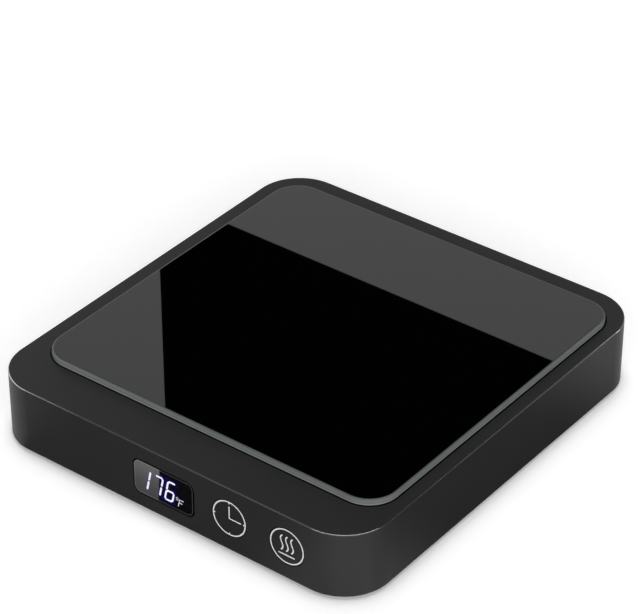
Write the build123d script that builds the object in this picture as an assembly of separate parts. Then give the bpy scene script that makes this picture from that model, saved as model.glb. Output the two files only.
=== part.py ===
from build123d import *
import os
from math import atan2, cos, degrees, hypot, radians, sin, tan

# Electric mug warmer: a flat plastic casing with a black glass hot plate on top, a display and
# two round press keys in its front wall, and a foil heater clamped up against the glass.
# X runs along the front, Y from front to back, Z up from the surface that the feet stand on.
# All lengths are in millimetres, all angles in degrees.

# ---------------------------------------------------------------- driving dimensions

# casing
case_width = 112.0
case_depth = 120.0
wall_height = 17.8
case_corner_radius = 12.6
case_wall = 2.2
deck_thickness = 2.2
top_edge_radius = 0.3

# bottom cover and feet
cover_thickness = 2.0
cover_setback = 0.3
cover_clearance = 0.25
foot_drop = 1.0
foot_radius = 6.0
foot_recess_depth = 0.8
foot_clearance = 0.15
foot_chamfer = 0.35
vent_count = 9
vent_width = 1.6
vent_length = 24.0
vent_pitch = 5.0

# screws that hold the cover, driven up from under the feet
boss_inset = 12.5
boss_radius = 3.4
case_screw_radius = 1.45
case_screw_length = 8.0
case_screw_head_radius = 2.8
case_screw_head_height = 1.8
screw_seat = 1.0
pad_wall = 1.6

# glass hot plate and the floor that carries it
left_rim = 5.2
right_rim = 3.9
front_rim = 13.0
back_rim = 6.2
glass_thickness = 3.0
glass_proud = 1.6
glass_corner_radius = 8.0
glass_edge_radius = 0.6
glass_gap = 0.45
seal_thickness = 0.4
seal_width = 4.0
seal_inset = 0.5
floor_thickness = 1.8
pocket_wall = 1.8

# heater pack, pressed up against the glass
spreader_radius = 38.0
spreader_thickness = 1.5
spreader_clearance = 1.5
film_margin = 1.0
film_thickness = 0.5
insulation_thickness = 2.0
clamp_radius = 30.0
clamp_thickness = 0.8
clamp_arm_width = 10.0
clamp_boss_gap = 2.3
clamp_boss_radius = 3.2
clamp_screw_radius = 1.3
clamp_screw_length = 3.4
clamp_screw_head_radius = 2.5
clamp_screw_head_height = 1.5
lead_slot_width = 12.0
lead_slot_depth = 10.0
sensor_radius = 1.6
sensor_length = 3.4
sensor_tip_radius = 0.8
sensor_clearance = 0.4

# thermal fuse under the clamp plate
thermal_fuse_radius = 2.0
thermal_fuse_length = 10.0
thermal_fuse_chamfer = 0.5
thermal_fuse_x = -16.0
thermal_fuse_offset_y = 3.5
strap_thickness = 0.5
strap_width = 5.0
strap_wing = 3.4
strap_clearance = 0.05
rivet_radius = 0.8
rivet_head_radius = 1.4
rivet_head_height = 0.5

# main board, screwed up to posts under the glass floor
board_thickness = 1.6
board_side_gap = 7.0
board_front_gap = 1.2
board_heater_offset = 16.6
board_lift = 2.1
board_corner_radius = 1.5
post_inset_x = 4.0
post_inset_y = 3.5
post_radius = 2.8
board_screw_radius = 1.1
board_screw_length = 6.0
board_screw_head_radius = 2.1
board_screw_head_height = 1.4

# front board with the display and the key switches
front_board_thickness = 1.2
front_board_end_gap = 1.0
front_board_top_gap = 0.6
front_board_lift = 0.15
rail_width = 3.2
rail_grip = 1.2
rail_wall = 1.2
rail_clearance = 0.1
rail_lift = 1.0

# display
display_key_pitch = 19.85
display_drop = 0.3
lens_width = 18.3
lens_height = 9.7
lens_corner_radius = 2.0
lens_chamfer = 0.15
lens_setback = 0.05
lens_gap = 0.3
lens_flange_side = 1.2
lens_flange_top = 0.5
lens_flange_thickness = 0.8
gasket_thickness = 0.4
gasket_width = 1.2
module_margin = 0.5
digit_count = 3
digit_pitch = 3.87
digit_width = 2.3
digit_height = 5.58
digit_slant = 12.7
digit_right = 2.6
digit_base = -3.03
segment_stroke = 0.5
segment_gap = 0.12
segment_depth = 0.2
unit_left = 4.55
unit_base = -3.45
unit_width = 1.3
unit_height = 2.1
unit_short_bar = 1.0
unit_stroke = 0.32
degree_radius = 0.36
degree_stroke = 0.2

# press keys
heat_key_inset = 19.5
key_pitch = 16.9
key_rise = 0.1
key_radius = 5.15
key_setback = 0.05
key_gap = 0.1
key_edge_radius = 0.12
key_flange = 0.95
key_flange_thickness = 0.8
key_flat = 0.35
key_travel = 0.6
key_stop_clearance = 0.05
key_guide_width = 8.0
key_guide_clearance = 0.1

# key switches
switch_size = 6.0
switch_depth = 3.4
plunger_radius = 1.7
plunger_proud = 0.95
plunger_seat = 1.5
plunger_clearance = 0.08
switch_spare_travel = 0.2

# components on the main board: sizes, then centres
component_edge_radius = 0.5
clamp_plate_gap = 0.6
terminal_width = 10.0
terminal_depth = 7.0
terminal_hole_radius = 1.1
mains_terminal_gap = 3.0
heater_terminal_x = -9.0
heater_terminal_width = 12.0
terminal_edge_gap = 1.0
connector_width = 7.5
connector_depth = 5.8
sensor_connector_x = 9.0
header_width = 9.0
header_depth = 3.5
header_height = 3.5
display_header_offset = 12.25
header_edge_gap = 0.5
dropper_width = 13.0
dropper_depth = 11.0
dropper_gap = 7.5
filter_length = 11.0
filter_x = -6.0
front_row_gap = 6.5
triac_width = 10.0
triac_body_depth = 9.0
triac_height = 4.4
triac_tab_depth = 6.0
triac_tab_thickness = 1.3
triac_hole_radius = 1.8
triac_end_gap = 16.8
board_fuse_radius = 2.0
board_fuse_length = 10.0
board_fuse_cap = 2.0
board_fuse_cap_wall = 0.2
board_fuse_end_gap = 4.8
varistor_radius = 3.5
varistor_thickness = 3.0
varistor_gap = 2.5
varistor_side_gap = 0.5
chip_length = 10.0
chip_width = 4.0
chip_height = 1.6
chip_x = 8.0
chip_leads = 8
chip_lead_width = 0.4
chip_lead_reach = 1.0
chip_lead_thickness = 0.25

# internal wires
heater_lead_radius = 0.8
heater_lead_pitch = 4.0
sensor_lead_radius = 0.45
sensor_lead_pitch = 1.4
fuse_lead_radius = 0.7
ribbon_width = 7.0
ribbon_thickness = 0.6
wire_bend = 2.0
ribbon_bend = 1.0

# cord entry in the back wall
cord_bore_radius = 2.7
gland_neck_radius = 4.0
gland_flange_radius = 5.5
gland_flange_thickness = 1.2
gland_flange_round = 0.3
gland_recess_depth = 1.3
gland_recess_clearance = 0.1
gland_nut_thickness = 1.6
gland_nut_radius = 5.0
gland_nose_length = 3.0
gland_nose_radius = 3.6
gland_pad_width = 16.0
gland_pad_thickness = 1.6
cord_clamp_inset = 13.0
cord_clamp_depth = 6.0
cord_clamp_thickness = 2.5
cord_clamp_screw_x = 8.0
cord_clamp_margin = 3.0
cord_grip = 1.0
saddle_width = 8.0

# how far a pilot hole is wider than its screw, and how much longer
pilot_clearance = 0.05
pilot_spare = 0.5
screw_hole_clearance = 0.25
recess_ratio = 0.55
recess_blade = 0.5
screw_head_round = 0.4

# ---------------------------------------------------------------- levels and faces that follow

z_wall_foot = foot_drop
z_deck = z_wall_foot + wall_height
z_deck_under = z_deck - deck_thickness
z_glass_top = z_deck + glass_proud
z_glass_under = z_glass_top - glass_thickness
z_floor = z_glass_under - seal_thickness
z_floor_under = z_floor - floor_thickness

z_cover_under = z_wall_foot + cover_setback
z_cover = z_cover_under + cover_thickness
z_foot_seat = z_cover_under + foot_recess_depth
z_head_seat = z_foot_seat + case_screw_head_height + foot_clearance
z_boss_end = z_head_seat + screw_seat

film_radius = spreader_radius - film_margin
heater_opening_radius = spreader_radius + spreader_clearance
clamp_screw_circle_radius = heater_opening_radius + clamp_boss_gap + clamp_boss_radius
z_film = z_glass_under - spreader_thickness
z_insulation = z_film - film_thickness
z_clamp = z_insulation - insulation_thickness
z_clamp_under = z_clamp - clamp_thickness

z_board_under = z_cover + board_lift
z_board = z_board_under + board_thickness
tall_component_height = z_clamp_under - clamp_plate_gap - z_board
terminal_height = tall_component_height
connector_height = tall_component_height
dropper_height = tall_component_height
filter_radius = tall_component_height / 2

front_y = -case_depth / 2
back_y = case_depth / 2
inner_front_y = front_y + case_wall
inner_back_y = back_y - case_wall
inner_width = case_width - 2 * case_wall
inner_depth = case_depth - 2 * case_wall
inner_corner_radius = case_corner_radius - case_wall

glass_width = case_width - left_rim - right_rim
glass_depth = case_depth - front_rim - back_rim
glass_x = (left_rim - right_rim) / 2
glass_y = (front_rim - back_rim) / 2
pocket_width = glass_width + 2 * glass_gap
pocket_depth = glass_depth + 2 * glass_gap
pocket_corner_radius = glass_corner_radius + glass_gap

boss_x = case_width / 2 - boss_inset
boss_y = case_depth / 2 - boss_inset
pad_radius = case_screw_head_radius + foot_clearance + pad_wall

board_width = inner_width - 2 * board_side_gap
board_front_y = -boss_y + boss_radius + board_front_gap
board_back_y = glass_y - board_heater_offset
board_depth = board_back_y - board_front_y
board_y = (board_front_y + board_back_y) / 2
post_x = board_width / 2 - post_inset_x
terminal_y = board_back_y - terminal_edge_gap - terminal_depth / 2
connector_y = board_back_y - terminal_edge_gap - connector_depth / 2
header_y = board_front_y + header_edge_gap + header_depth / 2
front_row_y = board_front_y + front_row_gap
mains_terminal_x = -(post_x - post_radius - mains_terminal_gap - terminal_width / 2)
board_fuse_x = -(board_width / 2 - board_fuse_end_gap - board_fuse_radius)
dropper_x = board_fuse_x + board_fuse_radius + dropper_gap + dropper_width / 2
varistor_x = mains_terminal_x + terminal_width / 2 + varistor_side_gap + varistor_radius
varistor_y = front_row_y + dropper_depth / 2 + varistor_gap + varistor_radius
triac_x = board_width / 2 - triac_end_gap - triac_width / 2
wire_entry_z = z_board + terminal_height / 2
connector_entry_z = z_board + connector_height / 2

heat_key_x = case_width / 2 - heat_key_inset
timer_key_x = heat_key_x - key_pitch
display_x = timer_key_x - display_key_pitch
display_header_x = display_x + display_header_offset
z_middle = (z_cover + z_deck_under) / 2
z_key = z_middle + key_rise
z_display = z_middle - display_drop
key_front_y = front_y + key_setback
flange_front_y = inner_front_y + key_stop_clearance
flange_back_y = flange_front_y + key_flange_thickness
key_flange_radius = key_radius + key_flange
switch_front_y = flange_back_y + plunger_proud
front_board_y = switch_front_y + switch_depth
front_board_back_y = front_board_y + front_board_thickness
front_board_left = display_x - lens_width / 2 - lens_flange_side - front_board_end_gap
front_board_right = heat_key_x + key_flange_radius + front_board_end_gap
z_front_board_low = z_boss_end + front_board_lift
z_front_board_top = z_deck_under - front_board_top_gap
z_front_header = (z_front_board_low + z_front_board_top) / 2
lens_front_y = front_y + lens_setback
lens_flange_back_y = flange_front_y + lens_flange_thickness
module_front_y = lens_flange_back_y + gasket_thickness
module_width = lens_width + 2 * module_margin
module_height = lens_height + 2 * module_margin

z_cord = (z_cover + z_floor_under) / 2
gland_flange_back_y = back_y - gland_recess_depth
gland_pad_y = inner_back_y - gland_pad_thickness
gland_nut_y = gland_pad_y - gland_nut_thickness
gland_end_y = gland_nut_y - gland_nose_length
cord_clamp_y = back_y - cord_clamp_inset
z_cord_clamp = z_cord - cord_grip
z_cord_clamp_under = z_cord_clamp - cord_clamp_thickness
z_saddle = z_cord + cord_grip

lead_tab_y = glass_y - clamp_radius
sensor_y = glass_y
thermal_fuse_y = glass_y + thermal_fuse_offset_y
z_thermal_fuse = z_clamp_under - thermal_fuse_radius

through = case_wall + cover_thickness  # how far a cutting tool runs past the face it cuts

# ---------------------------------------------------------------- shapes used again and again


def slab(width, depth, radius, z_low, z_high, y=0.0, x=0.0):
    """A plate with rounded corners, lying flat."""
    return extrude(Pos(x, y, z_low) * RectangleRounded(width, depth, radius), z_high - z_low)


def upright(radius, z_low, z_high, x, y):
    """A round bar or hole along Z."""
    return Pos(x, y, (z_low + z_high) / 2) * Cylinder(radius, z_high - z_low)


def level(radius, y_low, y_high, x, z):
    """A round bar or hole along Y."""
    return Pos(x, (y_low + y_high) / 2, z) * Rot(90, 0, 0) * Cylinder(radius, y_high - y_low)


def crosswise(radius, x_low, x_high, y, z):
    """A round bar or hole along X."""
    return Pos((x_low + x_high) / 2, y, z) * Rot(0, 90, 0) * Cylinder(radius, x_high - x_low)


def block(x_low, x_high, y_low, y_high, z_low, z_high):
    """A square-edged block between its six faces."""
    middle = Pos((x_low + x_high) / 2, (y_low + y_high) / 2, (z_low + z_high) / 2)
    return middle * Box(x_high - x_low, y_high - y_low, z_high - z_low)


def front_plane(y):
    """A drawing plane that faces the user, with X to the right and Z up."""
    return Plane(origin=(0, y, 0), x_dir=(1, 0, 0), z_dir=(0, -1, 0))


def panel(outline, x, z, y_front, y_back):
    """An outline drawn as seen from the front, given its thickness from y_front to y_back."""
    return extrude(front_plane(y_back) * Pos(x, z) * outline, y_back - y_front)


def both_sides(x, y_values):
    """Each place at plus and minus x, for every y."""
    return [(side * x, y) for y in y_values for side in (-1, 1)]


def screw(radius, length, head_radius, head_height, z_seat, x, y):
    """A cross-recessed pan head screw driven upwards, its head under z_seat."""
    shank = upright(radius, z_seat, z_seat + length, x, y)
    head = upright(head_radius, z_seat - head_height, z_seat, x, y)
    head = fillet(head.edges().sort_by(Axis.Z)[0], screw_head_round)
    z_low = z_seat - head_height
    z_high = z_low + head_height * recess_ratio
    reach = head_radius * recess_ratio
    for wide, deep in ((reach, recess_blade / 2), (recess_blade / 2, reach)):
        head -= block(x - wide, x + wide, y - deep, y + deep, z_low - recess_blade, z_high)
    return head + shank


def pilot(radius, length, z_low, x, y):
    """The blind hole that a screw of this radius and length cuts its thread in."""
    return upright(radius + pilot_clearance, z_low, z_low + length + pilot_spare, x, y)


def wire(points, radius, bend):
    """An insulated wire along straight runs joined by tangent arcs."""
    path = FilletPolyline(*points, radius=bend)
    start = Plane(origin=path @ 0, z_dir=path % 0)
    return sweep(start * Circle(radius), path=path)


# ---------------------------------------------------------------- casing

case_screw_places = both_sides(boss_x, (-boss_y, boss_y))
clamp_screw_places = [
    (clamp_screw_circle_radius * cos(radians(angle)),
     glass_y + clamp_screw_circle_radius * sin(radians(angle)))
    for angle in (45, 135, 225, 315)
]
board_screw_places = both_sides(post_x, (board_front_y + post_inset_y, board_back_y - post_inset_y))
cord_clamp_screw_places = both_sides(cord_clamp_screw_x, (cord_clamp_y,))
key_places = {"timer": timer_key_x, "heat": heat_key_x}


def front_rails():
    """Two channels under the deck that the front board slides up into."""
    rails = []
    for end, side in ((front_board_left, -1), (front_board_right, 1)):
        near = end - side * rail_grip
        far = near + side * rail_width
        rails.append(block(min(near, far), max(near, far), front_board_y - rail_wall,
                           front_board_back_y + rail_wall, z_front_board_low + rail_lift, z_deck))
    return rails


def make_top_case():
    outer = slab(case_width, case_depth, case_corner_radius, z_wall_foot, z_deck)
    outer = fillet(outer.faces().sort_by(Axis.Z)[-1].edges(), top_edge_radius)
    case = outer - slab(inner_width, inner_depth, inner_corner_radius, z_wall_foot, z_deck_under)

    tub_width = min(pocket_width + 2 * pocket_wall, case_width - case_wall - 2 * abs(glass_x))
    tub_depth = pocket_depth + 2 * pocket_wall
    tub_corner_radius = pocket_corner_radius + pocket_wall
    case += slab(tub_width, tub_depth, tub_corner_radius, z_floor_under, z_deck_under, glass_y, glass_x)
    for x, y in case_screw_places:
        case += upright(boss_radius, z_boss_end, z_deck_under, x, y)
    for x, y in clamp_screw_places:
        case += upright(clamp_boss_radius, z_clamp, z_floor, x, y)
    for x, y in board_screw_places:
        case += upright(post_radius, z_board, z_floor, x, y)
    for x, y in cord_clamp_screw_places:
        case += upright(post_radius, z_cord_clamp, z_floor, x, y)
    case += block(-saddle_width / 2, saddle_width / 2, cord_clamp_y - cord_clamp_depth / 2,
                  cord_clamp_y + cord_clamp_depth / 2, z_saddle, z_floor)
    case += block(-gland_pad_width / 2, gland_pad_width / 2, gland_pad_y, inner_back_y, z_boss_end, z_floor)
    for rail in front_rails():
        case += rail - slab(case_width, case_depth, case_corner_radius, z_deck_under, z_deck + through)
    for x in key_places.values():
        z_low = z_key + key_radius + key_flat + key_guide_clearance
        case += block(x - key_guide_width / 2, x + key_guide_width / 2, inner_front_y,
                      flange_back_y + key_travel, z_low, z_deck_under)

    case -= slab(pocket_width, pocket_depth, pocket_corner_radius, z_floor, z_deck + through,
                 glass_y, glass_x)
    case -= upright(heater_opening_radius, z_floor_under, z_deck, 0, glass_y)
    window = RectangleRounded(lens_width + 2 * lens_gap, lens_height + 2 * lens_gap,
                              lens_corner_radius + lens_gap)
    case -= panel(window, display_x, z_display, front_y - through, inner_front_y)
    for x in key_places.values():
        case -= level(key_radius + key_gap, front_y - through, inner_front_y, x, z_key)
    case -= block(front_board_left - rail_clearance, front_board_right + rail_clearance,
                  front_board_y - rail_clearance, front_board_back_y + rail_clearance,
                  z_front_board_low, z_front_board_top + rail_clearance)

    for x, y in case_screw_places:
        case -= pilot(case_screw_radius, case_screw_length - screw_seat, z_boss_end, x, y)
    for x, y in clamp_screw_places:
        case -= pilot(clamp_screw_radius, clamp_screw_length - clamp_thickness, z_clamp, x, y)
    for x, y in board_screw_places:
        case -= pilot(board_screw_radius, board_screw_length - board_thickness, z_board, x, y)
    for x, y in cord_clamp_screw_places:
        case -= pilot(board_screw_radius, board_screw_length - cord_clamp_thickness, z_cord_clamp, x, y)
    case -= level(cord_bore_radius, cord_clamp_y - cord_clamp_depth, gland_end_y, 0, z_cord)
    case -= level(gland_neck_radius, gland_pad_y - through, back_y + through, 0, z_cord)
    case -= level(gland_flange_radius + gland_recess_clearance, gland_flange_back_y,
                  back_y + through, 0, z_cord)
    return case


def make_bottom_cover():
    cover_radius = inner_corner_radius - cover_clearance
    width = inner_width - 2 * cover_clearance
    depth = inner_depth - 2 * cover_clearance
    cover = slab(width, depth, cover_radius, z_cover_under, z_cover)
    for x, y in case_screw_places:
        cover += upright(pad_radius, z_cover_under, z_boss_end, x, y)
    for x, y in case_screw_places:
        cover -= upright(foot_radius + foot_clearance, z_cover_under - through, z_foot_seat, x, y)
        cover -= upright(case_screw_head_radius + foot_clearance, z_foot_seat, z_head_seat, x, y)
        cover -= upright(case_screw_radius + screw_hole_clearance, z_head_seat, z_boss_end, x, y)
    for x in (front_board_left + rail_width, front_board_right - rail_width):
        cover += block(x - rail_width / 2, x + rail_width / 2, front_board_y, front_board_back_y,
                       z_cover, z_front_board_low - rail_clearance)
    first_x = -(vent_count - 1) / 2 * vent_pitch
    for number in range(vent_count):
        slot = Pos(first_x + number * vent_pitch, glass_y, z_cover_under) * Rot(0, 0, 90)
        cover -= extrude(slot * SlotOverall(vent_length, vent_width), cover_thickness)
    return cover


def make_feet():
    feet = []
    for x, y in case_screw_places:
        foot = upright(foot_radius, 0, z_foot_seat, x, y)
        feet.append(chamfer(foot.edges().sort_by(Axis.Z)[0], foot_chamfer))
    return feet


def make_case_screws():
    return [screw(case_screw_radius, case_screw_length, case_screw_head_radius, case_screw_head_height,
                  z_head_seat, x, y) for x, y in case_screw_places]


# ---------------------------------------------------------------- hot plate and heater pack


def make_glass_plate():
    plate = slab(glass_width, glass_depth, glass_corner_radius, z_glass_under, z_glass_top,
                 glass_y, glass_x)
    return fillet(plate.faces().sort_by(Axis.Z)[-1].edges(), glass_edge_radius)


def make_glass_seal():
    width = glass_width - 2 * seal_inset
    depth = glass_depth - 2 * seal_inset
    radius = glass_corner_radius - seal_inset
    ring = slab(width, depth, radius, z_floor, z_glass_under, glass_y, glass_x)
    return ring - slab(width - 2 * seal_width, depth - 2 * seal_width, radius - seal_width,
                       z_floor, z_glass_under, glass_y, glass_x)


def make_heat_spreader():
    return upright(spreader_radius, z_film, z_glass_under, 0, glass_y)


def make_heater_film():
    return upright(film_radius, z_insulation, z_film, 0, glass_y)


def lead_slot(z_low, z_high):
    """The notch in the heater's rim that its two leads come down through."""
    half = lead_slot_width / 2
    return block(heater_terminal_x - half, heater_terminal_x + half,
                 glass_y - spreader_radius - lead_slot_depth,
                 lead_tab_y + heater_lead_radius + sensor_clearance, z_low, z_high)


def make_insulation_pad():
    pad = upright(spreader_radius, z_clamp, z_insulation, 0, glass_y)
    pad -= upright(sensor_radius + sensor_clearance, z_clamp, z_insulation, 0, sensor_y)
    return pad - lead_slot(z_clamp, z_insulation)


def make_heater_clamp():
    plate = upright(clamp_radius, z_clamp_under, z_clamp, 0, glass_y)
    arm_length = 2 * clamp_screw_circle_radius + clamp_arm_width
    for angle in (45, 135):
        arm = Pos(0, glass_y, z_clamp_under) * Rot(0, 0, angle) * SlotOverall(arm_length, clamp_arm_width)
        plate += extrude(arm, clamp_thickness)
    for x, y in clamp_screw_places:
        plate -= upright(clamp_screw_radius + screw_hole_clearance, z_clamp_under, z_clamp, x, y)
    for x, y in rivet_places():
        plate -= upright(rivet_radius, z_clamp_under, z_clamp, x, y)
    plate -= upright(sensor_radius + sensor_clearance, z_clamp_under, z_clamp, 0, sensor_y)
    return plate - lead_slot(z_clamp_under, z_clamp)


def make_clamp_screws():
    return [screw(clamp_screw_radius, clamp_screw_length, clamp_screw_head_radius, clamp_screw_head_height,
                  z_clamp_under, x, y) for x, y in clamp_screw_places]


def make_thermistor():
    bead = upright(sensor_radius, z_insulation - sensor_length, z_insulation, 0, sensor_y)
    return fillet(bead.edges().sort_by(Axis.Z)[0], sensor_tip_radius)


def make_thermal_fuse():
    body = level(thermal_fuse_radius, thermal_fuse_y - thermal_fuse_length / 2,
                 thermal_fuse_y + thermal_fuse_length / 2, thermal_fuse_x, z_thermal_fuse)
    return chamfer(body.edges().filter_by(GeomType.CIRCLE), thermal_fuse_chamfer)


def rivet_places():
    reach = thermal_fuse_radius + strap_clearance + strap_thickness + strap_wing / 2
    return [(thermal_fuse_x + side * reach, thermal_fuse_y) for side in (-1, 1)]


def make_fuse_strap():
    """A strip bent round the thermal fuse, with a flat wing each side against the clamp plate."""
    inside = thermal_fuse_radius + strap_clearance
    outside = inside + strap_thickness
    wing_end = outside + strap_wing
    outline = Circle(outside) + Pos(0, outside / 2) * Rectangle(2 * outside, outside)
    outline += Pos(0, thermal_fuse_radius - strap_thickness / 2) * Rectangle(2 * wing_end, strap_thickness)
    outline -= Circle(inside) + Pos(0, inside / 2) * Rectangle(2 * inside, inside)
    outline &= Pos(0, thermal_fuse_radius - outside) * Rectangle(2 * wing_end, 2 * outside)
    strap = panel(outline, thermal_fuse_x, z_thermal_fuse, thermal_fuse_y - strap_width / 2,
                  thermal_fuse_y + strap_width / 2)
    for x, y in rivet_places():
        strap -= upright(rivet_radius, z_clamp_under - strap_thickness, z_clamp_under, x, y)
    return strap


def make_strap_rivets():
    rivets = []
    for x, y in rivet_places():
        z_head = z_clamp_under - strap_thickness
        head = upright(rivet_head_radius, z_head - rivet_head_height, z_head, x, y)
        rivets.append(head + upright(rivet_radius, z_head, z_clamp, x, y))
    return rivets


# ---------------------------------------------------------------- main board and its components


def make_main_board():
    board = slab(board_width, board_depth, board_corner_radius, z_board_under, z_board, board_y)
    for x, y in board_screw_places:
        board -= upright(board_screw_radius + screw_hole_clearance, z_board_under, z_board, x, y)
    return board


def make_board_screws():
    return [screw(board_screw_radius, board_screw_length, board_screw_head_radius, board_screw_head_height,
                  z_board_under, x, y) for x, y in board_screw_places]


def on_board(width, depth, height, x, y):
    """A square-edged component body standing on the main board."""
    return block(x - width / 2, x + width / 2, y - depth / 2, y + depth / 2, z_board, z_board + height)


def terminal_block(width, x):
    """A two-pole terminal block with a wire hole in its front and a screw well over each pole."""
    body = on_board(width, terminal_depth, terminal_height, x, terminal_y)
    for side in (-1, 1):
        pole_x = x + side * width / 4
        body -= upright(terminal_hole_radius, wire_entry_z, z_board + terminal_height, pole_x, terminal_y)
    return body


def make_mains_terminal():
    return terminal_block(terminal_width, mains_terminal_x)


def make_heater_terminal():
    return terminal_block(heater_terminal_width, heater_terminal_x)


def make_sensor_connector():
    return on_board(connector_width, connector_depth, connector_height, sensor_connector_x, connector_y)


def make_board_header():
    return on_board(header_width, header_depth, header_height, display_header_x, header_y)


def make_dropper_capacitor():
    body = on_board(dropper_width, dropper_depth, dropper_height, dropper_x, front_row_y)
    return fillet(body.edges().filter_by(Axis.Z), component_edge_radius)


def make_filter_capacitor():
    can = crosswise(filter_radius, filter_x - filter_length / 2, filter_x + filter_length / 2,
                    front_row_y, z_board + filter_radius)
    return fillet(can.edges().filter_by(GeomType.CIRCLE), component_edge_radius)


def make_triac():
    tab_y = front_row_y + triac_body_depth / 2 + triac_tab_depth / 2
    body = on_board(triac_width, triac_body_depth, triac_height, triac_x, front_row_y)
    tab = on_board(triac_width, triac_tab_depth, triac_tab_thickness, triac_x, tab_y)
    hole = upright(triac_hole_radius, z_board, z_board + triac_height, triac_x, tab_y)
    return body + tab - hole


def make_board_fuse():
    z_axis = z_board + board_fuse_radius
    half = board_fuse_length / 2
    tube_radius = board_fuse_radius - board_fuse_cap_wall
    tube = level(tube_radius, board_y - half, board_y + half, board_fuse_x, z_axis)
    for side in (-1, 1):
        y_ends = sorted((board_y + side * half, board_y + side * (half - board_fuse_cap)))
        tube += level(board_fuse_radius, *y_ends, board_fuse_x, z_axis)
    return tube


def make_varistor():
    disc = upright(varistor_radius, z_board, z_board + varistor_thickness, varistor_x, varistor_y)
    return fillet(disc.edges(), component_edge_radius)


def make_control_chip():
    chip = on_board(chip_length, chip_width, chip_height, chip_x, board_y)
    lead_pitch = chip_length / chip_leads
    for number in range(chip_leads):
        x = chip_x + (number - (chip_leads - 1) / 2) * lead_pitch
        reach = chip_width + 2 * chip_lead_reach
        chip += on_board(chip_lead_width, reach, chip_lead_thickness, x, board_y)
    return chip


# ---------------------------------------------------------------- front board, display and keys


def make_front_board():
    return block(front_board_left, front_board_right, front_board_y, front_board_back_y,
                 z_front_board_low, z_front_board_top)


def make_front_header():
    half = header_width / 2
    return block(display_header_x - half, display_header_x + half,
                 front_board_back_y, front_board_back_y + header_height / 2,
                 z_front_header - header_depth / 2, z_front_header + header_depth / 2)


def make_display_module():
    return panel(Rectangle(module_width, module_height), display_x, z_display, module_front_y, front_board_y)


def make_display_gasket():
    ring = Rectangle(module_width, module_height)
    ring -= Rectangle(module_width - 2 * gasket_width, module_height - 2 * gasket_width)
    return panel(ring, display_x, z_display, lens_flange_back_y, module_front_y)


def make_display_lens():
    face = RectangleRounded(lens_width, lens_height, lens_corner_radius)
    body = panel(face, display_x, z_display, lens_front_y, flange_front_y)
    body = chamfer(body.faces().sort_by(Axis.Y)[0].edges(), lens_chamfer)
    flange = RectangleRounded(lens_width + 2 * lens_flange_side, lens_height + 2 * lens_flange_top,
                              lens_corner_radius + lens_flange_top)
    return body + panel(flange, display_x, z_display, flange_front_y, lens_flange_back_y)


def segment_outline(start, end):
    """A bar with pointed ends between two corners of a digit."""
    run = hypot(end[0] - start[0], end[1] - start[1]) - 2 * segment_gap
    half = segment_stroke / 2
    body = Polyline((-run / 2, 0), (-run / 2 + half, half), (run / 2 - half, half), (run / 2, 0),
                    (run / 2 - half, -half), (-run / 2 + half, -half), close=True)
    turn = degrees(atan2(end[1] - start[1], end[0] - start[0]))
    return Pos((start[0] + end[0]) / 2, (start[1] + end[1]) / 2) * Rot(0, 0, turn) * make_face(body)


def digit_corners(number):
    """The six corners of a leaning digit, counted from the right, as (side, level) to a place."""
    lean = tan(radians(digit_slant))
    right = digit_right - number * digit_pitch
    return {(side, step): (right - (1 - side) * digit_width + lean * step * digit_height / 2,
                           digit_base + step * digit_height / 2) for side in (0, 1) for step in (0, 1, 2)}


def make_display_segments():
    """All seven bars of every digit, and the degree ring and letter beside them."""
    bars = [((0, 2), (1, 2)), ((0, 1), (1, 1)), ((0, 0), (1, 0)),
            ((0, 1), (0, 2)), ((1, 1), (1, 2)), ((0, 0), (0, 1)), ((1, 0), (1, 1))]
    outlines = []
    for number in range(digit_count):
        corners = digit_corners(number)
        outlines += [segment_outline(corners[a], corners[b]) for a, b in bars]
    stem = Pos(unit_left, unit_base + unit_height / 2) * Rectangle(unit_stroke, unit_height)
    for height, width in ((unit_height - unit_stroke / 2, unit_width), (unit_height / 2, unit_short_bar)):
        stem += Pos(unit_left + width / 2, unit_base + height) * Rectangle(width, unit_stroke)
    ring_x = unit_left - 2 * degree_radius
    ring = Circle(degree_radius) - Circle(degree_radius - degree_stroke)
    outlines += [stem, Pos(ring_x, unit_base + unit_height) * ring]
    y_front = module_front_y - segment_depth
    return [panel(outline, display_x, z_display, y_front, module_front_y) for outline in outlines]


def make_key(x):
    """A round cap a hair behind the wall, and a wider flange with flats that stop it turning."""
    cap = level(key_radius, key_front_y, flange_front_y, x, z_key)
    cap = fillet(cap.edges().sort_by(Axis.Y)[0], key_edge_radius)
    flange = level(key_flange_radius, flange_front_y, flange_back_y, x, z_key)
    flat = key_radius + key_flat
    flange &= block(x - key_flange_radius, x + key_flange_radius, flange_front_y, flange_back_y,
                    z_key - flat, z_key + flat)
    return cap + flange


def make_plunger(x):
    plunger = level(plunger_radius, flange_back_y, switch_front_y + plunger_seat, x, z_key)
    return chamfer(plunger.edges().sort_by(Axis.Y)[-1], plunger_clearance)


def make_switch(x):
    half = switch_size / 2
    body = block(x - half, x + half, switch_front_y, front_board_y, z_key - half, z_key + half)
    well_back_y = switch_front_y + plunger_seat + key_travel + switch_spare_travel
    return body - level(plunger_radius + plunger_clearance, switch_front_y - through, well_back_y, x, z_key)


# ---------------------------------------------------------------- wires


def make_heater_leads():
    leads = []
    terminal_front = terminal_y - terminal_depth / 2
    for side in (-1, 1):
        x = heater_terminal_x + side * heater_lead_pitch / 2
        points = [(x, lead_tab_y, z_insulation), (x, lead_tab_y, wire_entry_z),
                  (x, terminal_front, wire_entry_z)]
        leads.append(wire(points, heater_lead_radius, wire_bend))
    return leads


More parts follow.
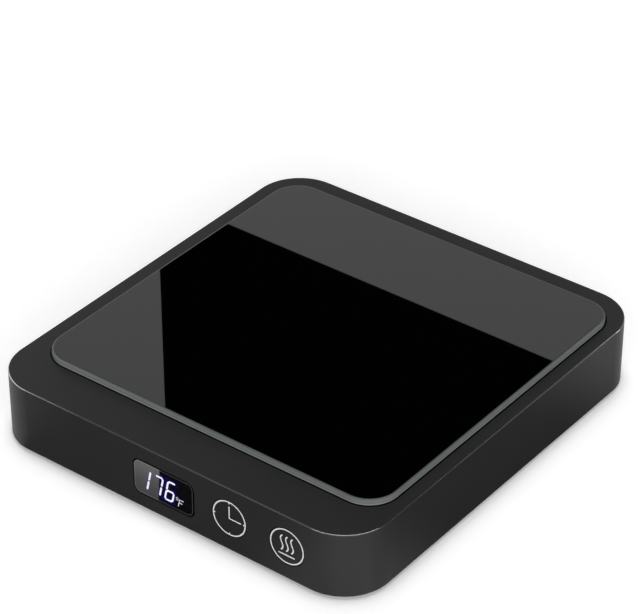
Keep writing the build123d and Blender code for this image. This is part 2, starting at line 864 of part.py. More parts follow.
def make_sensor_leads():
    leads = []
    z_start = z_insulation - sensor_length
    y_end = connector_y + connector_depth / 2
    for side in (-1, 1):
        shift = side * sensor_lead_pitch / 2
        turn_y = y_end + 2 * wire_bend
        leads.append(wire([(shift, sensor_y, z_start), (shift, sensor_y, connector_entry_z),
                           (sensor_connector_x + shift, turn_y, connector_entry_z),
                           (sensor_connector_x + shift, y_end, connector_entry_z)],
                          sensor_lead_radius, wire_bend / 2))
    return leads


def make_fuse_leads():
    """One lead from each end of the thermal fuse, to the heater's and the mains terminals."""
    terminal_back = terminal_y + terminal_depth / 2
    front_end = thermal_fuse_y - thermal_fuse_length / 2
    back_end = thermal_fuse_y + thermal_fuse_length / 2
    heater_x = heater_terminal_x - heater_terminal_width / 4
    to_heater = [(thermal_fuse_x, front_end, z_thermal_fuse),
                 (thermal_fuse_x, front_end - 2 * wire_bend, z_thermal_fuse),
                 (thermal_fuse_x, front_end - 4 * wire_bend, wire_entry_z),
                 (heater_x, terminal_back + 2 * wire_bend, wire_entry_z),
                 (heater_x, terminal_back, wire_entry_z)]
    mains_x = mains_terminal_x + terminal_width / 4
    loop_y = back_end + 3 * wire_bend
    to_mains = [(thermal_fuse_x, back_end, z_thermal_fuse), (thermal_fuse_x, loop_y, z_thermal_fuse),
                (mains_x, loop_y, wire_entry_z), (mains_x, terminal_back, wire_entry_z)]
    return [wire(to_heater, fuse_lead_radius, wire_bend / 2), wire(to_mains, fuse_lead_radius, wire_bend)]


def make_display_ribbon():
    """A flat ribbon cable from the front board's header to the main board's."""
    z_board_end = z_board + header_height / 2
    y_start = front_board_back_y + header_height / 2
    y_end = header_y - header_depth / 2
    third = (y_end - y_start) / 3
    points = [(display_header_x, y_start, z_front_header),
              (display_header_x, y_start + third, z_front_header),
              (display_header_x, y_end - third, z_board_end), (display_header_x, y_end, z_board_end)]
    path = FilletPolyline(*points, radius=ribbon_bend)
    start = Plane(origin=path @ 0, x_dir=(1, 0, 0), z_dir=path % 0)
    return sweep(start * Rectangle(ribbon_width, ribbon_thickness), path=path)


# ---------------------------------------------------------------- cord entry


def make_cord_gland():
    """A round grommet that snaps into the back wall, with the cord's bore right through it."""
    gland = level(gland_neck_radius, gland_pad_y, gland_flange_back_y, 0, z_cord)
    flange_face_y = gland_flange_back_y + gland_flange_thickness
    flange = level(gland_flange_radius, gland_flange_back_y, flange_face_y, 0, z_cord)
    gland += fillet(flange.edges().sort_by(Axis.Y)[-1], gland_flange_round)
    gland += level(gland_nut_radius, gland_nut_y, gland_pad_y, 0, z_cord)
    gland += level(gland_nose_radius, gland_end_y, gland_nut_y, 0, z_cord)
    return gland - level(cord_bore_radius, gland_end_y - through, back_y + through, 0, z_cord)


def make_cord_clamp():
    """A bar with a half-round groove that grips the cord against the saddle above it."""
    reach = cord_clamp_screw_x + cord_clamp_margin
    y_low = cord_clamp_y - cord_clamp_depth / 2
    y_high = cord_clamp_y + cord_clamp_depth / 2
    bar = block(-reach, reach, y_low, y_high, z_cord_clamp_under, z_cord_clamp)
    bar -= level(cord_bore_radius, y_low - through, y_high + through, 0, z_cord)
    for x, y in cord_clamp_screw_places:
        bar -= upright(board_screw_radius + screw_hole_clearance, z_cord_clamp_under, z_cord_clamp, x, y)
    return bar


def make_cord_clamp_screws():
    return [screw(board_screw_radius, board_screw_length, board_screw_head_radius, board_screw_head_height,
                  z_cord_clamp_under, x, y) for x, y in cord_clamp_screw_places]


# ---------------------------------------------------------------- all sub-parts, one file each


def all_parts():
    parts = {
        "top_case": make_top_case(),
        "bottom_cover": make_bottom_cover(),
        "rubber_feet": make_feet(),
        "case_screws": make_case_screws(),
        "glass_plate": make_glass_plate(),
        "glass_seal": make_glass_seal(),
        "heat_spreader": make_heat_spreader(),
        "heater_film": make_heater_film(),
        "insulation_pad": make_insulation_pad(),
        "heater_clamp": make_heater_clamp(),
        "clamp_screws": make_clamp_screws(),
        "thermistor": make_thermistor(),
        "thermal_fuse": make_thermal_fuse(),
        "fuse_strap": make_fuse_strap(),
        "strap_rivets": make_strap_rivets(),
        "main_board": make_main_board(),
        "board_screws": make_board_screws(),
        "mains_terminal": make_mains_terminal(),
        "heater_terminal": make_heater_terminal(),
        "sensor_connector": make_sensor_connector(),
        "board_header": make_board_header(),
        "dropper_capacitor": make_dropper_capacitor(),
        "filter_capacitor": make_filter_capacitor(),
        "triac": make_triac(),
        "board_fuse": make_board_fuse(),
        "varistor": make_varistor(),
        "control_chip": make_control_chip(),
        "front_board": make_front_board(),
        "front_header": make_front_header(),
        "display_module": make_display_module(),
        "display_gasket": make_display_gasket(),
        "display_lens": make_display_lens(),
        "display_segments": make_display_segments(),
        "heater_leads": make_heater_leads(),
        "sensor_leads": make_sensor_leads(),
        "fuse_leads": make_fuse_leads(),
        "display_ribbon": make_display_ribbon(),
        "cord_gland": make_cord_gland(),
        "cord_clamp": make_cord_clamp(),
        "cord_clamp_screws": make_cord_clamp_screws(),
    }
    for name, x in key_places.items():
        parts[name + "_key"] = make_key(x)
        parts[name + "_plunger"] = make_plunger(x)
        parts[name + "_switch"] = make_switch(x)
    return parts


os.makedirs("parts", exist_ok=True)
for node, shape in all_parts().items():
    pieces = shape if isinstance(shape, list) else [shape]
    solids = [solid for piece in pieces for solid in piece.solids()]
    export_step(Compound(children=solids), f"parts/{node}.step")
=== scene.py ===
"""Looks of an electric mug warmer: a black glass hot plate in a flat moulded casing.

The CAD solids are the frame, in metres, with +Z up and the front wall facing -Y. Each section
below dresses one piece, or one group of like pieces, in the order in which they go together.
"""

import math

import bmesh
import bpy
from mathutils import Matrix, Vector


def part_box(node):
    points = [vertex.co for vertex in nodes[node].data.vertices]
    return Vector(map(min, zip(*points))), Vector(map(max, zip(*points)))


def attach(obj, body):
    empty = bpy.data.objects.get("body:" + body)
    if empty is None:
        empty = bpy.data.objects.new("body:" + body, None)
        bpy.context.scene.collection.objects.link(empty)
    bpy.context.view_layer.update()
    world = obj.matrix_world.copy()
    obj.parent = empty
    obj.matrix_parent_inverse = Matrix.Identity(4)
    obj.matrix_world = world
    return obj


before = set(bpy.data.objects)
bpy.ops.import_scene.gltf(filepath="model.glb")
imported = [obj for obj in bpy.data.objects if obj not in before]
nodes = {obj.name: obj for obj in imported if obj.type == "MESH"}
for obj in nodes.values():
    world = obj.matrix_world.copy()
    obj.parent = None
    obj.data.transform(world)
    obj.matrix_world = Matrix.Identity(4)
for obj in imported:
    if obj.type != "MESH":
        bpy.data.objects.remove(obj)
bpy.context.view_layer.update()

# ---------------------------------------------------------------- casing
# One injection moulded shell of black ABS: deck, corners and walls in one piece. The tool is
# spark eroded, which leaves a fine satin grain: it spreads highlights and keeps the black soft.

MM = 0.001


def linear(code):
    """The linear colour of an sRGB hex code such as 2b2c2d."""
    parts = [int(code[start:start + 2], 16) / 255 for start in (0, 2, 4)]
    return [p / 12.92 if p <= 0.04045 else ((p + 0.055) / 1.055) ** 2.4 for p in parts] + [1.0]


def add_node(tree, kind, values=None, links=None, **settings):
    """Adds one node with its settings, its sockets' values and the sockets that feed it."""
    node = tree.nodes.new("ShaderNode" + kind)
    for name, setting in settings.items():
        setattr(node, name, setting)
    for name, value in (values or {}).items():
        node.inputs[name].default_value = value
    for name, socket in (links or {}).items():
        tree.links.new(socket, node.inputs[name])
    return node


def start_material(name, **shader_values):
    """A new material, its node tree, its shader, and the point on the piece in metres."""
    material = bpy.data.materials.new(name)
    material.use_nodes = True
    tree = material.node_tree
    shader = tree.nodes["Principled BSDF"]
    for socket, value in shader_values.items():
        shader.inputs[socket.replace("_", " ")].default_value = value
    place = add_node(tree, "TexCoord").outputs["Object"]
    return material, tree, shader, place


def moulded(name, shades, drift, grain, depth, roughness, specular):
    """Moulded plastic or rubber: two close shades that drift over the part, and a fine grain.

    drift and grain are the sizes of the two patterns and depth is the grain's, in millimetres.
    roughness is the lowest and the highest.
    """
    material, tree, shader, place = start_material(name, Specular_IOR_Level=specular)
    cloud = add_node(tree, "TexNoise", {"Scale": 1 / (drift * MM), "Detail": 2.0}, {"Vector": place})
    skin = add_node(tree, "TexNoise", {"Scale": 1 / (grain * MM), "Detail": 3.0}, {"Vector": place})
    colour = add_node(tree, "Mix", {"A": linear(shades[0]), "B": linear(shades[1])},
                      {"Factor": cloud.outputs["Fac"]}, data_type="RGBA")
    sheen = add_node(tree, "MapRange", {"To Min": roughness[0], "To Max": roughness[1]},
                     {"Value": skin.outputs["Fac"]})
    bump = add_node(tree, "Bump", {"Strength": 1.0, "Distance": depth * MM},
                    {"Height": skin.outputs["Fac"]})
    tree.links.new(colour.outputs["Result"], shader.inputs["Base Color"])
    tree.links.new(sheen.outputs["Result"], shader.inputs["Roughness"])
    tree.links.new(bump.outputs["Normal"], shader.inputs["Normal"])
    return material


def dress(material, *names):
    """Gives these CAD nodes one material."""
    for name in names:
        mesh = nodes[name].data
        mesh.materials.clear()
        mesh.materials.append(material)


def outline_reach(tree, place, middle, half, corner_radius):
    """How far out a point lies in a block with round corners: corner_radius is its outline.

    half is half the block's size along X, Y and Z, and endless along the rounded corners.
    """
    from_middle = add_node(tree, "VectorMath", {1: middle}, {0: place}, operation="SUBTRACT").outputs[0]
    one_quarter = add_node(tree, "VectorMath", None, {0: from_middle}, operation="ABSOLUTE").outputs[0]
    past_corner = add_node(tree, "VectorMath", {1: [size - corner_radius for size in half]},
                           {0: one_quarter}, operation="SUBTRACT").outputs[0]
    outward = add_node(tree, "VectorMath", {1: (0.0, 0.0, 0.0)}, {0: past_corner}, operation="MAXIMUM")
    return add_node(tree, "VectorMath", None, {0: outward.outputs[0]}, operation="LENGTH").outputs["Value"]


endless = 1.0  # in metres, well past the object's own size

# the grain is really about 0.1 mm, and is drawn at 0.4 mm so that it shows
spark_eroded_abs = moulded("spark_eroded_abs", ("252526", "2a2a2b"), 18, 0.4, 0.003, (0.40, 0.48), 0.5)
dress(spark_eroded_abs, "top_case")

# the sparks don't reach into the tool's edge, so the rounded edge of the deck comes out smoother
case_low, case_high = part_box("top_case")
case_corner, edge_width = 12.6 * MM, 0.35 * MM
# solid ABS has an IOR of 1.54, but the pits of the grain swallow most of what it would mirror
grained_ior, grained_gloss = 1.217, 0.5
smooth_roughness, smooth_gloss = 0.1, 4.2
tree = spark_eroded_abs.node_tree
shader = tree.nodes["Principled BSDF"]
shader.inputs["IOR"].default_value = grained_ior
place = add_node(tree, "TexCoord").outputs["Object"]
reach = outline_reach(tree, place, (case_low + case_high) / 2, (case_high.x, case_high.y, endless),
                      case_corner)
near_wall = add_node(tree, "MapRange",
                     {"From Min": case_corner - edge_width, "From Max": case_corner - edge_width / 2},
                     {"Value": reach}, interpolation_type="SMOOTHSTEP")
height = add_node(tree, "SeparateXYZ", None, {0: place}).outputs["Z"]
near_deck = add_node(tree, "MapRange",
                     {"From Min": case_high.z - edge_width, "From Max": case_high.z - edge_width / 2},
                     {"Value": height}, interpolation_type="SMOOTHSTEP")
on_edge = add_node(tree, "Math", None, {0: near_wall.outputs["Result"], 1: near_deck.outputs["Result"]},
                   operation="MULTIPLY").outputs[0]
grained = shader.inputs["Roughness"].links[0].from_socket
sheen = add_node(tree, "Mix", {"B": smooth_roughness}, {"Factor": on_edge, "A": grained})
gloss = add_node(tree, "MapRange", {"To Min": grained_gloss, "To Max": smooth_gloss}, {"Value": on_edge})
tree.links.new(sheen.outputs["Result"], shader.inputs["Roughness"])
tree.links.new(gloss.outputs["Result"], shader.inputs["Specular IOR Level"])

# ---------------------------------------------------------------- bottom cover
# A flat ABS cover let into the foot of the casing, with a row of vent slots. It is moulded in a
# coarser, duller texture than the casing, because nobody sees it.

coarse_abs = moulded("coarse_textured_abs", ("1c1c1d", "232324"), 12, 0.8, 0.02, (0.58, 0.70), 0.25)
dress(coarse_abs, "bottom_cover")

# ---------------------------------------------------------------- feet
# Four die-cut discs of black rubber, glued into recesses in the cover. Rubber is dull and takes
# up a little pale dust.

foot_rubber = moulded("die_cut_rubber", ("151516", "222223"), 3, 0.5, 0.02, (0.75, 0.88), 0.3)
dress(foot_rubber, "rubber_feet")

# ---------------------------------------------------------------- screws
# Pan head screws, cold headed and zinc plated. The plating is bluish and bright, with faint
# drawn streaks along the shank and a soft cloudiness on the head.


def plated(name, shades, streak, roughness):
    """Plated or rolled metal: a cloudy tone, and streaks whose size along X, Y and Z is in mm."""
    material, tree, shader, place = start_material(name, Metallic=1.0)
    stretch = add_node(tree, "Mapping", {"Scale": [1 / (size * MM) for size in streak]}, {"Vector": place})
    lines = add_node(tree, "TexNoise", {"Scale": 1.0, "Detail": 4.0}, {"Vector": stretch.outputs["Vector"]})
    colour = add_node(tree, "Mix", {"A": linear(shades[0]), "B": linear(shades[1])},
                      {"Factor": lines.outputs["Fac"]}, data_type="RGBA")
    sheen = add_node(tree, "MapRange", {"To Min": roughness[0], "To Max": roughness[1]},
                     {"Value": lines.outputs["Fac"]})
    bump = add_node(tree, "Bump", {"Strength": 0.4, "Distance": 0.005 * MM},
                    {"Height": lines.outputs["Fac"]})
    tree.links.new(colour.outputs["Result"], shader.inputs["Base Color"])
    tree.links.new(sheen.outputs["Result"], shader.inputs["Roughness"])
    tree.links.new(bump.outputs["Normal"], shader.inputs["Normal"])
    return material


zinc_plated_screw = plated("zinc_plated_screw", ("9fa3a8", "c3c6ca"), (0.6, 0.6, 3.0), (0.22, 0.38))
dress(zinc_plated_screw, "case_screws", "clamp_screws", "board_screws", "cord_clamp_screws")

# ---------------------------------------------------------------- hot plate
# Tempered glass 3 mm thick. Its face is polished and shows the black print behind it. Its edge is
# ground round: a grey-green frosted band. Three marks are painted on it: a darker tone on the round,
# which is painted shade; a lighter line low on the upright edge, which is a painted highlight; and
# near-black where the edge meets the deck, which is painted shade.

glass_low, glass_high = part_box("glass_plate")
glass_corner, glass_round = 8.0 * MM, 0.6 * MM
# the frost fades in on the round, between these two distances from the plate's outline
frost_begins, frost_is_full = 1.15 * glass_round, 0.5 * glass_round
deck_top = case_high.z
# heights over the deck up to which the edge is painted: near-black, a painted shade where it meets the deck,
# and a lighter line above it, a painted highlight; each blurs over line_blur
foot_shade_height, arris_highlight_height, line_blur = 0.03 * MM, 0.36 * MM, 0.1 * MM

glass, tree, shader, place = start_material("black_backed_glass", IOR=1.5)
middle = (glass_low + glass_high) / 2
half = (glass_high - glass_low) / 2
reach = outline_reach(tree, place, middle, (half.x, half.y, endless), glass_corner)
rim = add_node(tree, "MapRange",
               {"From Min": glass_corner - frost_begins, "From Max": glass_corner - frost_is_full},
               {"Value": reach}, interpolation_type="SMOOTHSTEP")
height = add_node(tree, "SeparateXYZ", None, {0: place}).outputs["Z"]
grinding = add_node(tree, "TexNoise", {"Scale": 1 / (0.5 * MM), "Detail": 3.0}, {"Vector": place})
frost = add_node(tree, "Mix", {"A": linear("696d6b"), "B": linear("717573")},
                 {"Factor": grinding.outputs["Fac"]}, data_type="RGBA")
# painted shade: the round turns to the light, so its frost is painted a darker tone than the
# upright edge's
on_round = add_node(tree, "MapRange", {"From Min": glass_high.z - glass_round, "From Max": glass_high.z},
                    {"Value": height}, interpolation_type="SMOOTHSTEP")
frost = add_node(tree, "Mix", {"B": linear("525755")},
                 {"Factor": on_round.outputs["Result"], "A": frost.outputs["Result"]}, data_type="RGBA")
# painted highlight: a lighter grey line low on the upright edge
arris_highlight = add_node(tree, "MapRange",
                 {"From Min": deck_top + arris_highlight_height, "From Max": deck_top + arris_highlight_height - line_blur},
                 {"Value": height}, interpolation_type="SMOOTHSTEP")
edge = add_node(tree, "Mix", {"B": linear("8e908f")},
                {"Factor": arris_highlight.outputs["Result"], "A": frost.outputs["Result"]}, data_type="RGBA")
# painted shade: the edge painted near-black where it meets the deck
painted_foot_shade = add_node(tree, "MapRange",
                   {"From Min": deck_top + foot_shade_height + line_blur, "From Max": deck_top + foot_shade_height},
                   {"Value": height}, interpolation_type="SMOOTHSTEP")
edge = add_node(tree, "Mix", {"B": linear("0c0d0d")},
                {"Factor": painted_foot_shade.outputs["Result"], "A": edge.outputs["Result"]}, data_type="RGBA")
colour = add_node(tree, "Mix", {"A": linear("020202")},
                  {"Factor": rim.outputs["Result"], "B": edge.outputs["Result"]}, data_type="RGBA")
sheen = add_node(tree, "MapRange", {"To Min": 0.01, "To Max": 0.45}, {"Value": rim.outputs["Result"]})
gloss = add_node(tree, "MapRange", {"To Min": 0.5, "To Max": 0.06}, {"Value": rim.outputs["Result"]})
tree.links.new(colour.outputs["Result"], shader.inputs["Base Color"])
tree.links.new(sheen.outputs["Result"], shader.inputs["Roughness"])
tree.links.new(gloss.outputs["Result"], shader.inputs["Specular IOR Level"])
dress(glass, "glass_plate")

# ---------------------------------------------------------------- seal
# A flat frame of black silicone between the glass and the floor of its pocket, bonded to both.
# It is matte, with a faint moulded bloom.

seal_silicone = moulded("bonded_silicone", ("101011", "19191a"), 9, 0.6, 0.01, (0.62, 0.74), 0.35)
dress(seal_silicone, "glass_seal")

# ---------------------------------------------------------------- heater pack
# From the glass down: a rolled aluminium disc, an etched foil heater in amber polyimide film, a
# pressed fibre felt, and a stamped, zinc plated clamp plate. The fuse strap and its rivets match.

rolled_aluminium = plated("rolled_aluminium", ("b9bcc0", "d2d4d6"), (18.0, 0.35, 4.0), (0.25, 0.4))
dress(rolled_aluminium, "heat_spreader")

track_pitch = 3.0 * MM
polyimide, tree, shader, place = start_material("etched_foil_polyimide", Roughness=0.28, IOR=1.7)
film_low, film_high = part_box("heater_film")
heater_middle = add_node(tree, "Mapping", {"Location": -(film_low + film_high) / 2}, {"Vector": place})
# a wave node makes one band in each 2 pi / 20 of its input
track = add_node(tree, "TexWave", {"Scale": math.pi / 10 / track_pitch, "Distortion": 0.6, "Detail": 0.0},
                 {"Vector": heater_middle.outputs["Vector"]}, wave_type="RINGS", rings_direction="Z")
edge_of_track = add_node(tree, "MapRange", {"From Min": 0.45, "From Max": 0.55},
                         {"Value": track.outputs["Fac"]})
colour = add_node(tree, "Mix", {"A": linear("a8641c"), "B": linear("8b7a62")},
                  {"Factor": edge_of_track.outputs["Result"]}, data_type="RGBA")
relief = add_node(tree, "Bump", {"Strength": 0.6, "Distance": 0.03 * MM},
                  {"Height": edge_of_track.outputs["Result"]})
tree.links.new(colour.outputs["Result"], shader.inputs["Base Color"])
tree.links.new(relief.outputs["Normal"], shader.inputs["Normal"])
dress(polyimide, "heater_film")

felt, tree, shader, place = start_material("pressed_fibre_felt", Sheen_Weight=0.3, Specular_IOR_Level=0.2)
fibres = add_node(tree, "TexNoise", {"Scale": 1 / (0.7 * MM), "Detail": 6.0, "Distortion": 1.5},
                  {"Vector": place})
colour = add_node(tree, "Mix", {"A": linear("cfcac0"), "B": linear("f0ece4")},
                  {"Factor": fibres.outputs["Fac"]}, data_type="RGBA")
sheen = add_node(tree, "MapRange", {"To Min": 0.86, "To Max": 1.0}, {"Value": fibres.outputs["Fac"]})
nap = add_node(tree, "Bump", {"Strength": 1.0, "Distance": 0.12 * MM}, {"Height": fibres.outputs["Fac"]})
tree.links.new(colour.outputs["Result"], shader.inputs["Base Color"])
tree.links.new(sheen.outputs["Result"], shader.inputs["Roughness"])
tree.links.new(nap.outputs["Normal"], shader.inputs["Normal"])
dress(felt, "insulation_pad")

zinc_plated_sheet = plated("zinc_plated_sheet", ("a3a6a8", "bfc1c2"), (5.0, 4.0, 4.0), (0.28, 0.42))
dress(zinc_plated_sheet, "heater_clamp", "fuse_strap", "strap_rivets")

# ---------------------------------------------------------------- sensor and thermal fuse
# The thermistor is a bead dipped in black epoxy, glossy and slightly uneven. The thermal fuse has
# a glazed off-white ceramic body.

dipped_epoxy = moulded("dipped_epoxy", ("0d0d0d", "181716"), 1.5, 0.9, 0.02, (0.12, 0.24), 0.5)
dress(dipped_epoxy, "thermistor")
glazed_ceramic = moulded("glazed_ceramic", ("d9d4c6", "e6e2d6"), 4, 0.7, 0.006, (0.2, 0.32), 0.5)
dress(glazed_ceramic, "thermal_fuse")

# ---------------------------------------------------------------- boards
# Woven glass laminate with a green solder mask. Copper tracks show through the mask as lighter
# lines, and the weave as a fine square ripple.

track_width = 1.2 * MM
weave_pitch = 0.7 * MM
laminate, tree, shader, place = start_material("green_masked_laminate", IOR=1.5)
tracks = add_node(tree, "TexBrick",
                  {"Color1": linear("0f4a2c"), "Color2": linear("155a36"), "Mortar": linear("0a3a22"),
                   "Scale": 1.0, "Mortar Size": 0.25 * MM, "Brick Width": 9.0 * MM,
                   "Row Height": track_width}, {"Vector": place})
weave = add_node(tree, "TexVoronoi", {"Scale": 1 / weave_pitch, "Randomness": 0.15}, {"Vector": place},
                 distance="CHEBYCHEV")
ripple = add_node(tree, "Bump", {"Strength": 0.5, "Distance": 0.01 * MM},
                  {"Height": weave.outputs["Distance"]})
sheen = add_node(tree, "MapRange", {"To Min": 0.22, "To Max": 0.34}, {"Value": weave.outputs["Distance"]})
tree.links.new(tracks.outputs["Color"], shader.inputs["Base Color"])
tree.links.new(sheen.outputs["Result"], shader.inputs["Roughness"])
tree.links.new(ripple.outputs["Normal"], shader.inputs["Normal"])
dress(laminate, "main_board", "front_board")

# ---------------------------------------------------------------- components
# Screw terminals in green polyamide, connectors in cream nylon, a dipped film capacitor and
# varistor in blue, parts moulded in black epoxy, and switch plungers in white acetal.

green_polyamide = moulded("green_polyamide", ("1f5a30", "266a39"), 5, 0.5, 0.006, (0.35, 0.48), 0.4)
dress(green_polyamide, "mains_terminal", "heater_terminal")
cream_nylon = moulded("cream_nylon", ("dcd7c8", "e9e5d9"), 5, 0.5, 0.006, (0.38, 0.5), 0.4)
dress(cream_nylon, "sensor_connector", "board_header", "front_header")
blue_coating = moulded("blue_epoxy_coating", ("173f7a", "1d4c90"), 4, 0.8, 0.015, (0.2, 0.32), 0.5)
dress(blue_coating, "dropper_capacitor", "varistor")
black_epoxy = moulded("black_moulding_epoxy", ("141414", "1e1e1e"), 3, 0.35, 0.006, (0.5, 0.62), 0.35)
dress(black_epoxy, "triac", "control_chip", "timer_switch", "heat_switch", "display_module")
white_acetal = moulded("white_acetal", ("d8d4c8", "e4e1d8"), 3, 0.4, 0.003, (0.28, 0.38), 0.45)
dress(white_acetal, "timer_plunger", "heat_plunger")

# ---------------------------------------------------------------- filter capacitor
# A drawn aluminium can in a shrunk dark sleeve, which leaves the two ends bare. The sleeve is
# glossy, with a pale stripe down the side of the negative lead.

can_low, can_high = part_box("filter_capacitor")
sleeve_end = 0.8 * MM
sleeved_can, tree, shader, place = start_material("sleeved_aluminium_can")
axes = add_node(tree, "SeparateXYZ", None, {0: place})
left_end = add_node(tree, "Math", {1: can_low.x + sleeve_end}, {0: axes.outputs["X"]}, operation="LESS_THAN")
right_end = add_node(tree, "Math", {1: can_high.x - sleeve_end}, {0: axes.outputs["X"]},
                     operation="GREATER_THAN")
bare = add_node(tree, "Math", None, {0: left_end.outputs[0], 1: right_end.outputs[0]}, operation="MAXIMUM")
stripe = add_node(tree, "Math", {1: can_high.z - 0.5 * MM}, {0: axes.outputs["Z"]}, operation="GREATER_THAN")
scuffs = add_node(tree, "TexNoise", {"Scale": 1 / (0.8 * MM), "Detail": 3.0}, {"Vector": place})
sleeve = add_node(tree, "Mix", {"A": linear("23252e"), "B": linear("b9bcc4")},
                  {"Factor": stripe.outputs[0]}, data_type="RGBA")
colour = add_node(tree, "Mix", {"B": linear("c2c5c8")},
                  {"Factor": bare.outputs[0], "A": sleeve.outputs["Result"]}, data_type="RGBA")
sheen = add_node(tree, "MapRange", {"To Min": 0.22, "To Max": 0.4}, {"Value": scuffs.outputs["Fac"]})
tree.links.new(colour.outputs["Result"], shader.inputs["Base Color"])
tree.links.new(bare.outputs[0], shader.inputs["Metallic"])
tree.links.new(sheen.outputs["Result"], shader.inputs["Roughness"])
dress(sleeved_can, "filter_capacitor")

# ---------------------------------------------------------------- board fuse
# A clear glass tube with a nickel plated cap pressed on each end. The tube is drawn as pale
# polished glass, because its wire and its inside are solid in the model.

fuse_low, fuse_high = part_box("board_fuse")
cap_length = 2.0 * MM
capped_glass, tree, shader, place = start_material("nickel_capped_glass", IOR=1.5)
along = add_node(tree, "SeparateXYZ", None, {0: place}).outputs["Y"]
front_cap = add_node(tree, "Math", {1: fuse_low.y + cap_length}, {0: along}, operation="LESS_THAN")
back_cap = add_node(tree, "Math", {1: fuse_high.y - cap_length}, {0: along}, operation="GREATER_THAN")
cap = add_node(tree, "Math", None, {0: front_cap.outputs[0], 1: back_cap.outputs[0]}, operation="MAXIMUM")
colour = add_node(tree, "Mix", {"A": linear("b7c4c2"), "B": linear("c9c6bd")},
                  {"Factor": cap.outputs[0]}, data_type="RGBA")
smudge = add_node(tree, "TexNoise", {"Scale": 1 / (1.2 * MM), "Detail": 2.0}, {"Vector": place})
sheen = add_node(tree, "MapRange", {"To Min": 0.05, "To Max": 0.25}, {"Value": smudge.outputs["Fac"]})
tree.links.new(colour.outputs["Result"], shader.inputs["Base Color"])
tree.links.new(cap.outputs[0], shader.inputs["Metallic"])
tree.links.new(sheen.outputs["Result"], shader.inputs["Roughness"])
dress(capped_glass, "board_fuse")

# ---------------------------------------------------------------- wires
# Stranded leads in silicone rubber, which is soft, satin and slightly dusty, and a flat ribbon
# of grey PVC whose conductors show as ridges.

silicone_sleeve = moulded("silicone_lead_sleeve", ("c9c7c0", "dbd9d2"), 6, 0.5, 0.01, (0.5, 0.62), 0.35)
dress(silicone_sleeve, "heater_leads", "sensor_leads", "fuse_leads")

conductor_pitch = 1.0 * MM
ribbon, tree, shader, place = start_material("ribbed_grey_pvc", Specular_IOR_Level=0.4, Roughness=0.42)
ridges = add_node(tree, "TexWave", {"Scale": math.pi / 10 / conductor_pitch, "Distortion": 0.0},
                  {"Vector": place}, bands_direction="X")
colour = add_node(tree, "Mix", {"A": linear("7d7e82"), "B": linear("a9aaae")},
                  {"Factor": ridges.outputs["Fac"]}, data_type="RGBA")
relief = add_node(tree, "Bump", {"Strength": 1.0, "Distance": 0.15 * MM}, {"Height": ridges.outputs["Fac"]})
tree.links.new(colour.outputs["Result"], shader.inputs["Base Color"])
tree.links.new(relief.outputs["Normal"], shader.inputs["Normal"])
dress(ribbon, "display_ribbon")

# ---------------------------------------------------------------- cord entry
# A gland moulded in soft black PVC that snaps into the back wall, and inside it a clamp bar of
# black nylon. Both are duller than the casing.

soft_pvc = moulded("soft_moulded_pvc", ("18181a", "202022"), 6, 0.5, 0.01, (0.5, 0.62), 0.3)
dress(soft_pvc, "cord_gland")
black_nylon = moulded("black_moulded_nylon", ("161617", "1e1e1f"), 6, 0.4, 0.006, (0.45, 0.55), 0.35)
dress(black_nylon, "cord_clamp")

# ---------------------------------------------------------------- display window
# A window of smoked acrylic, polished almost black, snapped in from behind. The lit digits throw
# a deep blue glow into it that dies away within a millimetre or so. Behind it are a foam gasket
# and the light guides, which are milky resin.

lens_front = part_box("display_lens")[0].y
# the window's middle, where the digits are centred in the driving dimensions of the solids
display_x, display_z = -0.25 * MM, 9.65 * MM
window_width, window_height, window_corner = 18.3 * MM, 9.7 * MM, 2.0 * MM
digit_pitch, digit_width, digit_height = 3.87 * MM, 2.3 * MM, 5.58 * MM
digit_lean = math.tan(math.radians(12.7))
last_digit_right = display_x + 2.6 * MM
digit_foot = display_z - 3.03 * MM


def corner(digit, side, step):
    """A corner of a leaning digit: digit 0 is the last, side 0 is left, step counts up by halves."""
    rise = step * digit_height / 2
    x = last_digit_right - digit * digit_pitch - (1 - side) * digit_width + digit_lean * rise
    return Vector((x, 0.0, digit_foot + rise))


# the bars that glow: of the one, of the seven and of the six
glowing_bars = [
    (corner(2, 1, 0), corner(2, 1, 2)),
    (corner(1, 0, 2), corner(1, 1, 2)), (corner(1, 1, 0), corner(1, 1, 2)),
    (corner(0, 0, 2), corner(0, 1, 2)), (corner(0, 0, 0), corner(0, 0, 2)),
    (corner(0, 0, 1), corner(0, 1, 1)), (corner(0, 1, 0), corner(0, 1, 1)),
    (corner(0, 0, 0), corner(0, 1, 0)),
]
glow_reach, glow_strength = 1.5 * MM, 0.08

smoked_acrylic, tree, shader, place = start_material("smoked_acrylic", IOR=1.6,
                                                     Emission_Color=linear("1a14b4"))
flat_place = add_node(tree, "VectorMath", {1: (1.0, 0.0, 1.0)}, {0: place}, operation="MULTIPLY").outputs[0]
glow = None
for start, end in glowing_bars:
    run = end - start
    offset = add_node(tree, "VectorMath", {1: start}, {0: flat_place}, operation="SUBTRACT").outputs[0]
    share = add_node(tree, "VectorMath", {1: run / run.length_squared}, {0: offset},
                     operation="DOT_PRODUCT").outputs["Value"]
    share = add_node(tree, "Clamp", None, {"Value": share}).outputs["Result"]
    nearest = add_node(tree, "VectorMath", {0: run}, {"Scale": share}, operation="SCALE").outputs[0]
    away = add_node(tree, "VectorMath", None, {0: offset, 1: nearest}, operation="DISTANCE").outputs["Value"]
    part = add_node(tree, "MapRange", {"From Min": glow_reach, "From Max": 0.0},
                    {"Value": away}, interpolation_type="SMOOTHERSTEP").outputs["Result"]
    glow = part if glow is None else add_node(tree, "Math", None, {0: glow, 1: part},
                                              operation="ADD").outputs[0]
strength = add_node(tree, "Math", {1: glow_strength}, {0: glow}, operation="MULTIPLY").outputs[0]
